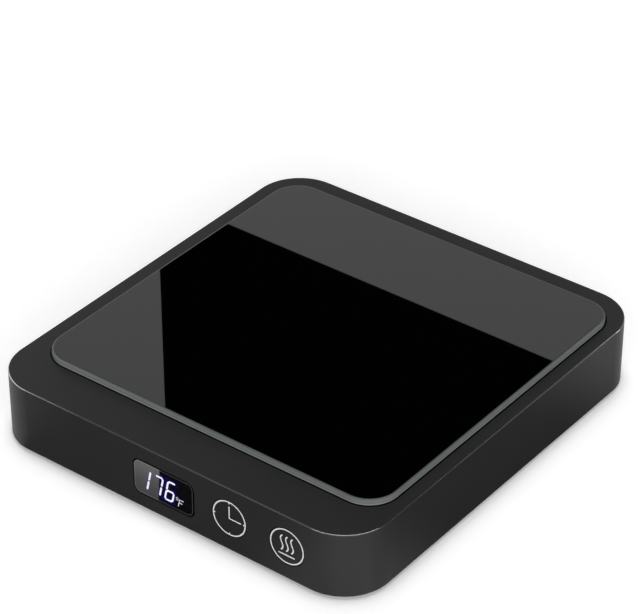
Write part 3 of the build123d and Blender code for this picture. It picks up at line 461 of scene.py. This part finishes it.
haze = add_node(tree, "TexNoise", {"Scale": 1 / (4 * MM), "Detail": 2.0}, {"Vector": place})
colour = add_node(tree, "Mix", {"A": linear("0b0b0c"), "B": linear("0f0e11")},
                  {"Factor": haze.outputs["Fac"]}, data_type="RGBA")
# the window's edge is bevelled: a grey line is painted where the bevel begins, a painted
# highlight, and the slope beyond it is painted black and dull, a painted shade of the gap round it.
# Each of the two begins this far in from the window's outline, and blurs over edge_blur.
line_begins, line_ends, slope_begins, edge_blur = 0.5 * MM, 0.3 * MM, 0.2 * MM, 0.1 * MM
reach = outline_reach(tree, place, (display_x, 0.0, display_z),
                      (window_width / 2, endless, window_height / 2), window_corner)
line_start, line_end, slope = [
    add_node(tree, "MapRange",
             {"From Min": window_corner - begins, "From Max": window_corner - begins + edge_blur},
             {"Value": reach}).outputs["Result"]
    for begins in (line_begins, line_ends, slope_begins)]
# painted highlight: the grey line; painted shade: the black slope
line = add_node(tree, "Math", None, {0: line_start, 1: line_end}, operation="SUBTRACT").outputs[0]
colour = add_node(tree, "Mix", {"B": linear("404042")},
                  {"Factor": line, "A": colour.outputs["Result"]}, data_type="RGBA")
colour = add_node(tree, "Mix", {"B": linear("000000")},
                  {"Factor": slope, "A": colour.outputs["Result"]}, data_type="RGBA")
sheen = add_node(tree, "MapRange", {"To Min": 0.03, "To Max": 0.5}, {"Value": slope})
gloss = add_node(tree, "MapRange", {"To Min": 0.5, "To Max": 0.0}, {"Value": slope})
tree.links.new(colour.outputs["Result"], shader.inputs["Base Color"])
tree.links.new(sheen.outputs["Result"], shader.inputs["Roughness"])
tree.links.new(gloss.outputs["Result"], shader.inputs["Specular IOR Level"])
tree.links.new(strength, shader.inputs["Emission Strength"])
dress(smoked_acrylic, "display_lens")

cell_foam = moulded("closed_cell_foam", ("0f0f10", "1b1b1c"), 2, 0.3, 0.05, (0.85, 0.95), 0.2)
dress(cell_foam, "display_gasket")
milky_resin = moulded("milky_resin", ("dfe2ee", "eef0f8"), 2, 0.3, 0.003, (0.2, 0.3), 0.5)
dress(milky_resin, "display_segments")

# ---------------------------------------------------------------- lit digits
# What the window shows when the plate is hot: three leaning digits and a degree mark, in lit milky
# resin. Each bar is a flat line with round ends, and bars that meet run together in a cut corner.

digit_stroke = 0.56 * MM
corner_cut = 0.45 * MM
# how far a bar's end stands from the corner of its digit, below zero where it runs past it
top_end, waist_above, waist_below, foot_end = -0.15 * MM, 0.34 * MM, -0.04 * MM, 0.2 * MM
# the same for the free ends of the top bars of the seven and the six, and where the six's stem starts
seven_start, six_start, six_stem_end = 0.12 * MM, 0.19 * MM, 0.2 * MM
lit_thickness = 0.02 * MM
end_turns = (80, 55, 30)  # degrees round a line's end at which its rounding is stepped


def flat_lines(name, lines, width, face_y, thickness):
    """Flat lines with round ends on a wall that faces -Y: bevelled curves, pressed almost flat.

    Each line is its points and whether it closes on itself.
    """
    curve = bpy.data.curves.new(name, "CURVE")
    curve.dimensions = "3D"
    curve.bevel_depth = width / 2
    curve.bevel_resolution = 3
    curve.use_fill_caps = True
    for points, closed in lines:
        steps = [(point, 1.0) for point in points]
        if not closed:
            into, out = (points[0] - points[1]).normalized(), (points[-1] - points[-2]).normalized()
            turns = [(math.sin(math.radians(t)) * width / 2, math.cos(math.radians(t)))
                     for t in end_turns]
            first, last = points[0] - into * width / 2, points[-1] - out * width / 2
            steps[0], steps[-1] = (first, 1.0), (last, 1.0)
            steps = [(first + into * far, size) for far, size in turns] + steps
            steps += [(last + out * far, size) for far, size in reversed(turns)]
        spline = curve.splines.new("POLY")
        spline.points.add(len(steps) - 1)
        spline.use_cyclic_u = closed
        for target, (point, size) in zip(spline.points, steps):
            target.co = (point.x, 0.0, point.z, 1.0)
            target.radius = size
    drawn = bpy.data.objects.new(name, curve)
    mesh = bpy.data.meshes.new_from_object(drawn)
    bpy.data.objects.remove(drawn)
    shape = bmesh.new()
    shape.from_mesh(mesh)
    bmesh.ops.remove_doubles(shape, verts=shape.verts, dist=0.001 * MM)
    bmesh.ops.scale(shape, vec=(1.0, thickness / width, 1.0), verts=shape.verts)
    bmesh.ops.translate(shape, vec=(0.0, face_y, 0.0), verts=shape.verts)
    bmesh.ops.recalc_face_normals(shape, faces=shape.faces)
    for face in shape.faces:
        face.smooth = True
    shape.to_mesh(mesh)
    shape.free()
    mesh.name = name
    piece = bpy.data.objects.new(name, mesh)
    bpy.context.scene.collection.objects.link(piece)
    return piece


def joined(*points, closed=False):
    """The same line with each inner corner cut off, as lit bars run together."""
    cut = []
    for number, point in enumerate(points):
        if not closed and number in (0, len(points) - 1):
            cut.append(point)
            continue
        for other in (points[number - 1], points[(number + 1) % len(points)]):
            cut.append(point + (other - point).normalized() * corner_cut)
    return cut, closed


def along(start, end, distance):
    """The point at this distance from the start of a bar."""
    return start + (end - start).normalized() * distance


def stem(digit, side, half):
    """The ends of one upright bar of a digit: half 0 is the lower one, 1 the upper."""
    low, high = corner(digit, side, half), corner(digit, side, half + 1)
    at_low, at_high = ((foot_end, waist_below), (waist_above, top_end))[half]
    return along(low, high, at_low), along(high, low, at_high)


# the one, the seven and the six, from left to right
lit_lines = [
    (stem(2, 1, 1), False),
    (stem(2, 1, 0), False),
    joined(along(corner(1, 0, 2), corner(1, 1, 2), seven_start), corner(1, 1, 2), stem(1, 1, 1)[0]),
    (stem(1, 1, 0), False),
    joined(along(corner(0, 1, 2), corner(0, 0, 2), six_start), corner(0, 0, 2),
           along(corner(0, 0, 1), corner(0, 0, 2), six_stem_end)),
    joined(corner(0, 0, 1), corner(0, 1, 1), corner(0, 1, 0), corner(0, 0, 0), closed=True),
]


def light_guide(name, tone, brightness, unevenness=0.15):
    """A lit, milky light guide, a little uneven along its bars."""
    material, tree, shader, place = start_material(name, Roughness=0.4, Base_Color=linear("24242c"),
                                                   Emission_Color=linear(tone))
    patches = add_node(tree, "TexNoise", {"Scale": 1 / (0.9 * MM), "Detail": 1.0}, {"Vector": place})
    strength = add_node(tree, "MapRange", {"To Min": (1 - unevenness) * brightness,
                                           "To Max": (1 + unevenness) * brightness},
                        {"Value": patches.outputs["Fac"]})
    tree.links.new(strength.outputs["Result"], shader.inputs["Emission Strength"])
    return material


display_light = light_guide("lit_milky_resin", "f3f0ff", 1.0)

digits = flat_lines("lit_digits", lit_lines, digit_stroke, lens_front, lit_thickness)
digits.data.materials.append(display_light)
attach(digits, "housing")

# the unit mark: a small leaning F, whose two bars run right, and a degree ring at its upper left
unit_stroke, degree_stroke = 0.24 * MM, 0.15 * MM
unit_foot, unit_top = Vector((4.15 * MM, 0.0, 6.2 * MM)), Vector((4.62 * MM, 0.0, 8.3 * MM))
unit_bar, waist_share, waist_bar_share = Vector((1.23 * MM, 0.0, 0.0)), 0.57, 0.84
unit_waist = unit_foot + (unit_top - unit_foot) * waist_share
unit_lines = [
    ([unit_foot, unit_top, unit_top + unit_bar], False),
    ([unit_waist, unit_waist + unit_bar * waist_bar_share], False),
]
degree_place = unit_top + Vector((-0.72 * MM, 0.0, 0.03 * MM))
degree_width, degree_height, degree_steps = 0.29 * MM, 0.39 * MM, 24
degree_turns = [math.tau * step / degree_steps for step in range(degree_steps)]
degree_line = [degree_place + Vector((degree_width * math.cos(turn), 0, degree_height * math.sin(turn)))
               for turn in degree_turns]
unit_mark = flat_lines("lit_unit_mark", unit_lines, unit_stroke, lens_front, lit_thickness)
degree_mark = flat_lines("lit_degree_mark", [(degree_line, True)], degree_stroke, lens_front, lit_thickness)
dim_light = light_guide("dimly_lit_milky_resin", "e2def8", 0.95)
for mark in (unit_mark, degree_mark):
    mark.data.materials.append(dim_light)
    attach(mark, "housing")

# ---------------------------------------------------------------- keys
# Two round caps moulded in the casing's own ABS, a shade smoother, flush with the wall. The marks
# are pad printed in light grey ink: a clock on one, and three waves of heat on the other.

key_abs = moulded("fine_grained_abs", ("242425", "282829"), 14, 0.35, 0.002, (0.38, 0.45), 0.12)
dress(key_abs, "timer_key", "heat_key")

key_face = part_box("timer_key")[0].y
ring_radius, ring_steps, ink_line, ink_thickness = 4.71 * MM, 96, 0.38 * MM, 0.02 * MM


def key_middle(node):
    """The middle of a key's face."""
    low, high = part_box(node)
    return Vector(((low.x + high.x) / 2, 0.0, (low.z + high.z) / 2))


def ring_round(middle):
    """The printed ring near a key's edge."""
    turns = [math.tau * step / ring_steps for step in range(ring_steps)]
    return [middle + ring_radius * Vector((math.cos(turn), 0, math.sin(turn))) for turn in turns], True


ink, tree, shader, place = start_material("pad_printed_ink", Specular_IOR_Level=0.3, Roughness=0.55)
coverage = add_node(tree, "TexNoise", {"Scale": 1 / (0.25 * MM), "Detail": 3.0}, {"Vector": place})
colour = add_node(tree, "Mix", {"A": linear("c6c6c6"), "B": linear("dededd")},
                  {"Factor": coverage.outputs["Fac"]}, data_type="RGBA")
tree.links.new(colour.outputs["Result"], shader.inputs["Base Color"])

timer_middle = key_middle("timer_key")
hand_length, tick_length = 3.5 * MM, 0.4 * MM
hand_up, hand_right = Vector((0, 0, hand_length)), Vector((hand_length, 0, 0))
clock_lines = [
    ring_round(timer_middle),
    ([timer_middle + hand_up, timer_middle, timer_middle + hand_right], False),
]
for quarter in range(4):
    outwards = Vector((math.cos(quarter * math.pi / 2), 0, math.sin(quarter * math.pi / 2)))
    rim_point = timer_middle + outwards * ring_radius
    clock_lines.append(([rim_point, rim_point - outwards * (tick_length + ink_line / 2)], False))
clock_mark = flat_lines("clock_mark", clock_lines, ink_line, key_face, ink_thickness)
clock_mark.data.materials.append(ink)
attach(clock_mark, "timer_button")

heat_middle = key_middle("heat_key")
wave_pitch, wave_height, wave_swing = 1.5 * MM, 4.4 * MM, 0.34 * MM
# each wave makes 0.88 of a turn, and both of its ends curl over by 0.17 more
wave_foot, wave_turns, wave_start, wave_curl = -1.55 * MM, 0.88, 0.45, 0.17
wave_steps, curl_power = 20, 8
bar_left, bar_right = Vector((-2.5 * MM, 0, -2.55 * MM)), Vector((2.3 * MM, 0, -2.55 * MM))
heat_lines = [
    ring_round(heat_middle),
    ([heat_middle + bar_left, heat_middle + bar_right], False),
]
for number in (-1, 0, 1):
    wave = []
    for step in range(wave_steps + 1):
        share = step / wave_steps
        curl = wave_curl * (share ** curl_power - (1 - share) ** curl_power)
        swing = -wave_swing * math.sin(math.tau * (wave_turns * share - wave_start + curl))
        wave.append(heat_middle + Vector((number * wave_pitch + swing, 0, wave_foot + wave_height * share)))
    heat_lines.append((wave, False))
heat_mark = flat_lines("heat_mark", heat_lines, ink_line, key_face, ink_thickness)
heat_mark.data.materials.append(ink)
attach(heat_mark, "heat_button")

# ---------------------------------------------------------------- studio
# A white table under an even white sky, with one broad soft lamp overhead and one in front. Cards
# that only shiny faces see shape the reflections: black flags, white cards and strips, and graded
# ones. The table is lifted to white, but less so near the object's foot, which keeps its shadow.

table_size = 3.0
sky_light, sky_in_gloss = 0.25, 0.85
# how much the table glows to the eye: in the open, and where the object shuts off the sky
table_lift, shut_in_lift, contact_distance = 0.40, 0.08, 7 * MM
shut_in, open_above = 0.45, 0.75  # the shares of open sky at which those two lifts are reached

world = bpy.data.worlds.new("studio")
world.use_nodes = True
bpy.context.scene.world = world
tree = world.node_tree
sky = tree.nodes["Background"]
ray = add_node(tree, "LightPath")
seen = add_node(tree, "Math", None, {0: ray.outputs["Is Glossy Ray"], 1: ray.outputs["Is Transmission Ray"]},
                operation="MAXIMUM")
sky_level = add_node(tree, "MapRange", {"To Min": sky_light, "To Max": sky_in_gloss},
                     {"Value": seen.outputs[0]})
sky_level = add_node(tree, "Math", None, {0: sky_level.outputs["Result"], 1: ray.outputs["Is Camera Ray"]},
                     operation="MAXIMUM")
sky.inputs["Color"].default_value = linear("ffffff")
tree.links.new(sky_level.outputs[0], sky.inputs["Strength"])

table_paint, tree, shader, place = start_material("white_table", Roughness=0.9, Specular_IOR_Level=0.0,
                                                  Emission_Color=linear("ffffff"))
ray = add_node(tree, "LightPath")
seen = add_node(tree, "Math", None, {0: ray.outputs["Is Camera Ray"], 1: ray.outputs["Is Glossy Ray"]},
                operation="MAXIMUM")
seen = add_node(tree, "Math", None, {0: seen.outputs[0], 1: ray.outputs["Is Transmission Ray"]},
                operation="MAXIMUM")
open_sky = add_node(tree, "AmbientOcclusion", {"Distance": contact_distance}, samples=8)
lift = add_node(tree, "MapRange",
                {"From Min": shut_in, "From Max": open_above, "To Min": shut_in_lift, "To Max": table_lift},
                {"Value": open_sky.outputs["AO"]})
lift = add_node(tree, "Math", None, {0: seen.outputs[0], 1: lift.outputs["Result"]}, operation="MULTIPLY")
tree.links.new(lift.outputs[0], shader.inputs["Emission Strength"])
mottle = add_node(tree, "TexNoise", {"Scale": 1 / (40 * MM), "Detail": 2.0}, {"Vector": place})
colour = add_node(tree, "Mix", {"A": linear("f4f4f4"), "B": linear("f9f9f9")},
                  {"Factor": mottle.outputs["Fac"]}, data_type="RGBA")
tree.links.new(colour.outputs["Result"], shader.inputs["Base Color"])

shape = bmesh.new()
bmesh.ops.create_grid(shape, x_segments=1, y_segments=1, size=table_size / 2)
table_mesh = bpy.data.meshes.new("table_top")
shape.to_mesh(table_mesh)
shape.free()
table_mesh.materials.append(table_paint)
table_top = bpy.data.objects.new("table_top", table_mesh)
bpy.context.scene.collection.objects.link(table_top)

object_middle = Vector((0, 0, 0.01))


def add_sun(name, stands_at, power, size):
    """A broad soft lamp that looks at the object's middle. Its size is in degrees."""
    data = bpy.data.lights.new(name, "SUN")
    data.energy, data.angle = power, math.radians(size)
    lamp = bpy.data.objects.new(name, data)
    lamp.location = stands_at
    lamp.rotation_mode = "QUATERNION"
    lamp.rotation_quaternion = (object_middle - Vector(stands_at)).to_track_quat("-Z", "Y")
    lamp.visible_glossy = False
    bpy.context.scene.collection.objects.link(lamp)


add_sun("overhead", (-0.12, 0.14, 1.0), power=0.62, size=30)
add_sun("front_fill", (0.50, -0.60, 0.22), power=3.05, size=60)


def add_card(name, corners, brightness=0.0):
    """A card that only shiny faces see: a black one darkens what they mirror, a bright one lifts it."""
    card = bmesh.new()
    card.faces.new([card.verts.new(point) for point in corners])
    card_mesh = bpy.data.meshes.new(name)
    card.to_mesh(card_mesh)
    card.free()
    cloth = start_material(name + "_cloth", Base_Color=linear("000000"), Specular_IOR_Level=0.0,
                           Emission_Color=linear("ffffff"), Emission_Strength=brightness)[0]
    card_mesh.materials.append(cloth)
    piece = bpy.data.objects.new(name, card_mesh)
    for kind_of_ray in ("camera", "diffuse", "shadow", "transmission"):
        setattr(piece, "visible_" + kind_of_ray, False)
    bpy.context.scene.collection.objects.link(piece)
    return piece


def level(height, *corners):
    """A level card's corners, from their places along X and Y."""
    return [(x, y, height) for x, y in corners]


def upright(start, end, low, high):
    """An upright card's corners, from its start to its end along X and Y."""
    return [(*start, low), (*end, low), (*end, high), (*start, high)]


def grade(card, axis, middle, start, end, low, high):
    """Lets a card's brightness change from low to high between two distances from its middle."""
    tree = card.data.materials[0].node_tree
    place = add_node(tree, "TexCoord").outputs["Object"]
    along_axis = add_node(tree, "SeparateXYZ", None, {0: place}).outputs[axis]
    away = add_node(tree, "Math", {1: middle}, {0: along_axis}, operation="SUBTRACT")
    away = add_node(tree, "Math", None, {0: away.outputs[0]}, operation="ABSOLUTE")
    shade = add_node(tree, "MapRange", {"From Min": start, "From Max": end, "To Min": low, "To Max": high},
                     {"Value": away.outputs[0]}, interpolation_type="SMOOTHSTEP")
    tree.links.new(shade.outputs["Result"], tree.nodes["Principled BSDF"].inputs["Emission Strength"])


# behind the object: the gap between these three shows in the hot plate as a grey band
flag_back, flag_top, outer_left, outer_right = 0.40, 2.5, -0.8, 1.2
hanging_left, hanging_foot = -0.405, 0.33
band_left, band_foot = -0.51, 0.27
add_card("hanging_flag", upright((hanging_left, flag_back), (outer_right, flag_back), hanging_foot, flag_top))
add_card("low_flag", upright((outer_left, flag_back), (outer_right, flag_back), 0.0, band_foot))
add_card("left_flag", upright((outer_left, flag_back), (band_left, flag_back), band_foot, flag_top))

# laid on the table along the front and the right wall, paler towards the corners
flag_height, card_height = 0.2 * MM, 0.4 * MM
front_flag = add_card("front_flag", level(flag_height, (-0.034, -0.0602), (0.047, -0.0602),
                                          (0.047, -0.14), (-0.10, -0.14)))
grade(front_flag, "X", middle=-0.03, start=0.048, end=0.078, low=0.0, high=0.9)
side_flag = add_card("side_flag", level(flag_height, (0.0562, -0.050), (0.12, -0.050),
                                        (0.12, 0.085), (0.0562, 0.085)))
grade(side_flag, "Y", middle=0.004, start=0.022, end=0.066, low=0.0, high=1.0)

# over the front flag, a white card that shows in the display window alone, with a slanted edge
window_card = add_card("window_card", level(card_height, (-0.0025, -0.0602), (-0.0678, -0.14),
                                            (-0.12, -0.14), (-0.046, -0.0602)))
grade(window_card, "Y", middle=0.0, start=0.065, end=0.078, low=0.68, high=1.75)
lit_by_card = bpy.data.collections.new("lit_by_card")
lit_by_card.objects.link(nodes["display_lens"])
window_card.light_linking.receiver_collection = lit_by_card

# close beside the left and the back wall, too low to show in the hot plate, for the deck's sheen
add_card("left_card", upright((-0.12, -0.02), (-0.12, 0.20), 0.0, 0.085), brightness=1.1)
add_card("back_card", upright((-0.20, 0.12), (0.10, 0.12), 0.0, 0.072), brightness=0.8)

# on the table, for the rounded corner between the front and the right wall
add_card("corner_card", level(card_height, (0.049, -0.0597), (0.054, -0.14), (0.14, -0.14),
                              (0.14, -0.056), (0.0558, -0.051)), brightness=1.5)

# strips that draw the deck's smooth edge: along the front, along the right, and round each corner
add_card("front_screen", upright((-1.1, -0.66), (-0.40, -0.66), 0.05, 1.5), brightness=0.1)
add_card("right_strip", upright((0.19, 0.38), (0.46, 0.38), 0.25, 0.335), brightness=2.3)
add_card("left_panel", upright((-0.100, -0.135), (-0.158, -0.02), 0.03, 0.10), brightness=6.3)
add_card("right_panel", upright((0.14, 0.142), (0.14, 0.215), 0.0, 0.10), brightness=8.0)
add_card("curved_strip", level(0.9, (-0.50, -0.90), (0.26, -0.72), (0.66, -0.44), (0.92, -0.04), (1.14, 0.78),
                               (0.90, 0.82), (0.62, 0.06), (0.40, -0.27), (0.12, -0.48), (-0.44, -0.64)),
         brightness=15.5)

camera_target = Vector((-0.0169, 0.0218, 0.010))
camera_distance = 0.728
camera_azimuth, camera_elevation = math.radians(37.59), math.radians(34.13)
camera_data = bpy.data.cameras.new("camera")
camera_data.lens = 159.94
camera_data.sensor_width = 36.0
camera_data.clip_start, camera_data.clip_end = 0.01, 20.0
camera = bpy.data.objects.new("camera", camera_data)
backwards = Vector((math.sin(camera_azimuth) * math.cos(camera_elevation),
                    -math.cos(camera_azimuth) * math.cos(camera_elevation), math.sin(camera_elevation)))
camera.location = camera_target + backwards * camera_distance
camera.rotation_euler = (math.pi / 2 - camera_elevation, 0.0, camera_azimuth)
bpy.context.scene.collection.objects.link(camera)
bpy.context.scene.camera = camera
bpy.context.scene.view_settings.view_transform = "Standard"
